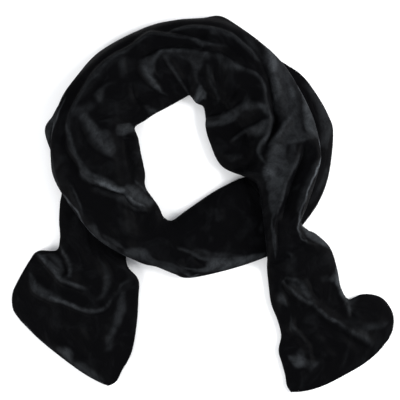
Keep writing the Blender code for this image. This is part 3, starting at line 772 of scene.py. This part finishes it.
# Painted highlights of sheen on the upper run in whole patches, in the same columns as on the lower
# run.
UPPER_PAINTED_SHEEN_PATCHES = (
    # the fan of creases where the outer pleat ends
    (0.6, 3, ((-99, 18), (-95, 24), (-84, 24), (-77, 18), (-71, 11), (-62, 6), (-60, 0), (-66, -4),
              (-73, -3), (-80, 0), (-86, 2), (-91, 6), (-95, 12))),
    (0.7, 4, ((-84, 20), (-79, 17), (-74, 8), (-72, 2), (-78, 2), (-80, 8), (-84, 13))),
    (0.46, 3, ((-110, 9), (-100, 11), (-94, 10), (-88, 4), (-80, -1), (-70, -4), (-68, -8),
               (-76, -8), (-86, -5), (-96, 1), (-104, 4))),
    # the left of the ring
    (0.61, 2.2, ((-149, 108), (-139, 112), (-135, 103), (-128, 95), (-121, 87), (-115, 77),
                 (-110, 67), (-107, 58), (-116, 58), (-125, 66), (-133, 76), (-139, 88), (-144, 98),
                 (-150, 104))),
    (0.46, 2.5, ((-124, 92), (-114, 89), (-110, 80), (-105, 62), (-112, 62), (-120, 78))),
    (0.36, 4, ((-157, 120), (-146, 121), (-136, 126), (-128, 120), (-133, 112), (-140, 110),
               (-150, 106), (-160, 104))),
    (0.59, 2.5, ((-104, 97), (-94, 97), (-91, 99), (-84, 95), (-81, 90), (-88, 86), (-97, 83),
                 (-105, 82), (-108, 87))),
    (0.5, 2.5, ((-106, 147), (-116, 146), (-126, 139), (-134, 133), (-130, 123), (-124, 121),
                (-121, 131), (-119, 140))),
    (0.41, 3, ((-104, 172), (-94, 180), (-94, 151), (-99, 150), (-101, 160))),
    (0.45, 2.5, ((-74, 121), (-66, 119), (-56, 112), (-66, 107), (-69, 112))),
    # the top
    (0.76, 2, ((-77, 167), (-72, 156), (-63, 143), (-49, 133), (-53, 142), (-60, 152), (-63, 164),
               (-70, 167))),
    (0.52, 2.5, ((-78, 167), (-75, 175), (-67, 177), (-63, 172), (-64, 163), (-72, 165))),
    (0.68, 2, ((-65, 178), (-50, 184), (-54, 178), (-60, 171), (-60, 160), (-64, 158), (-65, 168))),
    (0.56, 2, ((-51, 182), (-42, 180), (-40, 168), (-44, 170))),
    (0.41, 4, ((-46, 183), (-20, 183), (8, 180), (8, 173), (-2, 174), (-18, 172), (-30, 177),
               (-44, 178))),
    (0.47, 3, ((-20, 177), (-13, 158), (-9, 146), (-4, 143), (-6, 150), (-6, 158), (-2, 166),
               (2, 176))),
    (0.85, 2.5, ((-6, 147), (-10, 136), (-13, 128), (-9, 121), (-2, 126), (3, 127), (4, 133),
                 (0, 139))),
    (0.45, 3, ((2, 170), (3, 156), (7, 144), (14, 131), (16, 125), (20, 128), (17, 136), (12, 146),
               (9, 158), (8, 170))),
    (0.4, 4, ((8, 180), (24, 176), (34, 172), (46, 164), (44, 158), (36, 158), (30, 162), (24, 158),
              (18, 172))),
    (0.85, 2, ((31, 174), (38, 168), (51, 162), (42, 161), (34, 166))),
    (0.58, 2.2, ((-17, 200), (-6, 198), (6, 194), (-1, 189), (-8, 192))),
    (0.45, 2.5, ((5, 210), (20, 208), (19, 204), (8, 204))),
    (0.54, 3, ((18, 211), (32, 206), (44, 199), (56, 188), (66, 174), (62, 173), (50, 186),
               (42, 193), (30, 201), (20, 206))),
    (0.38, 5, ((44, 206), (56, 200), (66, 188), (72, 176), (68, 176), (60, 186), (50, 196))),
    # the inner side at the right
    (0.56, 2.2, ((0, 102), (18, 103), (24, 112), (34, 113), (43, 116), (48, 124), (52, 131),
                 (58, 123), (70, 118), (70, 114), (50, 113), (44, 108), (38, 101), (24, 94),
                 (2, 91))),
    (0.67, 1.8, ((59, 123), (66, 122), (76, 120), (79, 110), (77, 105), (70, 113), (62, 118))),
    (0.56, 2.2, ((79, 103), (60, 94), (50, 89), (52, 84), (62, 81), (68, 80), (78, 88))),
    (0.36, 4, ((26, 60), (46, 62), (47, 56), (34, 50), (27, 52))),
    # the lower edge of the ring
    (0.55, 2.5, ((-142, -24), (-129, -24), (-125, -33), (-122, -40), (-113, -42), (-106, -49),
                 (-98, -57), (-112, -52), (-126, -42), (-134, -35))),
    (0.5, 3, ((-98, -54), (-92, -52), (-68, -52), (-62, -62), (-52, -69), (-62, -74), (-88, -64))),
    (0.54, 3.5, ((-58, -70), (-42, -71), (-28, -78), (-22, -83), (-40, -82), (-58, -75))),
    (0.72, 3, ((-4, -62), (10, -63), (30, -63), (50, -61), (76, -57), (74, -64), (50, -72),
               (25, -78), (5, -81), (-14, -80), (2, -74), (4, -68))),
    (0.43, 4, ((-10, -51), (0, -53), (10, -56), (30, -58), (50, -60), (30, -65), (8, -65),
               (-4, -60), (-14, -56))),
    (0.32, 3, ((14, -3), (19, -6), (23, -15), (20, -21), (12, -20), (13, -12))),
    # the broad bright side of the cloth that comes down as the right end
    (0.8, 4, ((72, 196), (80, 190), (87, 178), (91, 170), (90, 160), (86, 152), (80, 156),
              (76, 165), (73, 178))),
    (0.72, 3, ((80, 156), (88, 155), (91, 146), (95, 140), (92, 130), (86, 124), (84, 135),
               (80, 146))),
    (0.76, 3, ((97, 152), (104, 147), (111, 136), (112, 128), (101, 127), (100, 138))),
    (0.78, 2.5, ((112, 146), (118, 135), (124, 124), (130, 110), (134, 96), (139, 76), (134, 80),
                 (128, 79), (122, 88), (118, 100), (117, 112), (119, 124), (116, 134))),
    (0.58, 3, ((80, 74), (75, 60), (73, 50), (70, 40), (70, 31), (75, 27), (76, 20), (79, 12),
               (79, 0), (81, -10), (83, -20), (86, -16), (88, -8), (92, 2), (97, 18), (103, 33),
               (109, 48), (104, 52), (99, 60), (99, 72), (88, 78))),
    (0.8, 5, ((72, 46), (78, 46), (87, 42), (88, 35), (83, 30), (74, 29), (70, 33), (70, 40))),
    (0.7, 5, ((86, 48), (98, 46), (102, 34), (97, 20), (90, 24), (88, 36))),
    (0.45, 3, ((86, 82), (93, 92), (101, 103), (112, 106), (117, 96), (122, 84), (118, 78),
               (100, 74), (86, 72))),
    # the flared part
    (0.7, 1.8, ((111, -92), (121, -95), (125, -106), (134, -119), (124, -114), (117, -106),
                (113, -98))),
    (0.41, 2.5, ((101, -93), (112, -93), (116, -104), (120, -112), (110, -106))),
    (0.5, 2.5, ((176, -147), (194, -143), (222, -140), (217, -147), (198, -152), (186, -152))),
    (0.5, 2.5, ((184, -152), (196, -150), (199, -158), (205, -168), (198, -168), (190, -162))),
    (0.6, 3, ((149, -89), (154, -83), (161, -78), (161, -92), (155, -94))),
    (0.34, 3, ((138, -87), (150, -84), (152, -92), (144, -94))),
    (0.41, 3, ((172, -114), (187, -109), (181, -122), (176, -134))),
    (0.54, 2.5, ((92, -104), (96, -112), (101, -123), (93, -120), (85, -116), (86, -112))),
    (0.54, 2.5, ((105, -130), (108, -141), (113, -151), (104, -151), (103, -144))),
    (0.25, 4, ((98, -64), (112, -62), (112, -84), (98, -86))),
    (0.72, 2.5, ((100, -181), (107, -181), (113, -178), (119, -180), (123, -187), (123, -196),
                 (108, -196), (104, -188))),
    (0.47, 2, ((110, -180), (112, -173), (117, -171), (121, -176), (121, -184), (114, -182))),
    (0.52, 2, ((121, -185), (129, -188), (139, -187), (139, -191), (133, -196), (128, -203),
               (124, -196))),
)

# What each stretch of it rests on: all the cloth laid before, but for the stretch that it runs on
# from. The front bridges the hollows of the left end's neck more widely than the rest follows what
# it lies on.
BRIDGING_ROWS = 2
left_half = lower_surface[lower_at < RING_TOP_BELOW]
at, along = stations_between(UNDER_RING_SEAM, len(ROWS) - 1)
places = section_points(at)[0]
front, far_side = at < FRONT_ENDS, at < RING_TOP_ABOVE
bridging = eased((FRONT_ENDS - at) / BRIDGING_ROWS)[:, None]
over_left = (1 - bridging) * ground_height(settled([left_half]), places)
over_left += bridging * ground_height(settled([left_half], spread=5, soften=14), places)
over_lower = ground_height(settled([lower_surface]), places)
front_surface = laid_surface(at[front], RING_FOLDS, over_left[front])
over_front = ground_height(settled([lower_surface, front_surface]), places)
ground = np.where(front[:, None], over_left, np.where(far_side[:, None], over_lower, over_front))
turned = laid_surface(at[~front], RING_FOLDS + RIGHT_END_FOLDS, ground[~front])
upper_surface = np.concatenate([front_surface, turned])
# The upper run's painted highlights of sheen.
upper_painted_sheen = painted_sheen_marks(upper_surface, UPPER_PAINTED_SHEEN_LINES, UPPER_PAINTED_SHEEN_PATCHES, RING_FOLDS)
upper_run = cloth_piece("upper_run", upper_surface, along, upper_painted_sheen, False, True)
upper_run.data.materials.append(velvet)
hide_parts("front_arc", "upper_turn_left", "upper_turn_right", "right_end")
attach(upper_run, "root")

# The surface on which it is laid: a plain pale matt board, far wider than the scarf.
bpy.ops.object.select_all(action="DESELECT")
bpy.ops.mesh.primitive_plane_add(size=6.0, location=(0, 0, 0))
floor = bpy.context.object
floor.name = "floor"
board = bpy.data.materials.new("matt_white_board")
board.use_nodes = True
board_shader = board.node_tree.nodes["Principled BSDF"]
board_shader.inputs["Base Color"].default_value = linear("#f6f6f6")
board_shader.inputs["Roughness"].default_value = 0.9
board_shader.inputs["Specular IOR Level"].default_value = 0.1
floor.data.materials.append(board)

# Soft studio light from low on both sides, with an even pale surround, and the camera straight
# above.
world = bpy.data.worlds.new("studio")
bpy.context.scene.world = world
world.use_nodes = True
surround = world.node_tree.nodes["Background"]
surround.inputs["Color"].default_value = linear("#f2f5fa")
surround.inputs["Strength"].default_value = 0.57

SOFTBOXES = (
    # name, azimuth and elevation in degrees, distance and size in metres, watts
    ("right_softbox", 10, 28, 1.6, 0.9, 46),
    ("left_softbox", 215, 26, 1.7, 0.9, 34),
    ("far_softbox", 95, 34, 1.7, 0.9, 5),
)
for name, azimuth, elevation, distance, size, watts in SOFTBOXES:
    light = bpy.data.lights.new(name, "AREA")
    light.energy = watts
    light.shape = "SQUARE"
    light.size = size
    box = bpy.data.objects.new(name, light)
    turn, tilt = math.radians(azimuth), math.radians(elevation)
    aim = Vector((math.cos(turn) * math.cos(tilt), math.sin(turn) * math.cos(tilt), math.sin(tilt)))
    spot = aim * distance
    box.location = spot
    box.rotation_euler = spot.to_track_quat("Z", "Y").to_euler()
    bpy.context.scene.collection.objects.link(box)

camera = bpy.data.cameras.new("camera")
camera.lens = LENS_MM
camera.sensor_width = SENSOR_MM
camera.sensor_fit = "AUTO"
viewer = bpy.data.objects.new("camera", camera)
viewer.location = ((PHOTO_MIDDLE[0] - MIDDLE_X) / 1000, PHOTO_MIDDLE[1] / 1000,
                   CAMERA_ABOVE / 1000)
bpy.context.scene.collection.objects.link(viewer)
bpy.context.scene.camera = viewer
bpy.context.scene.view_settings.view_transform = "Standard"
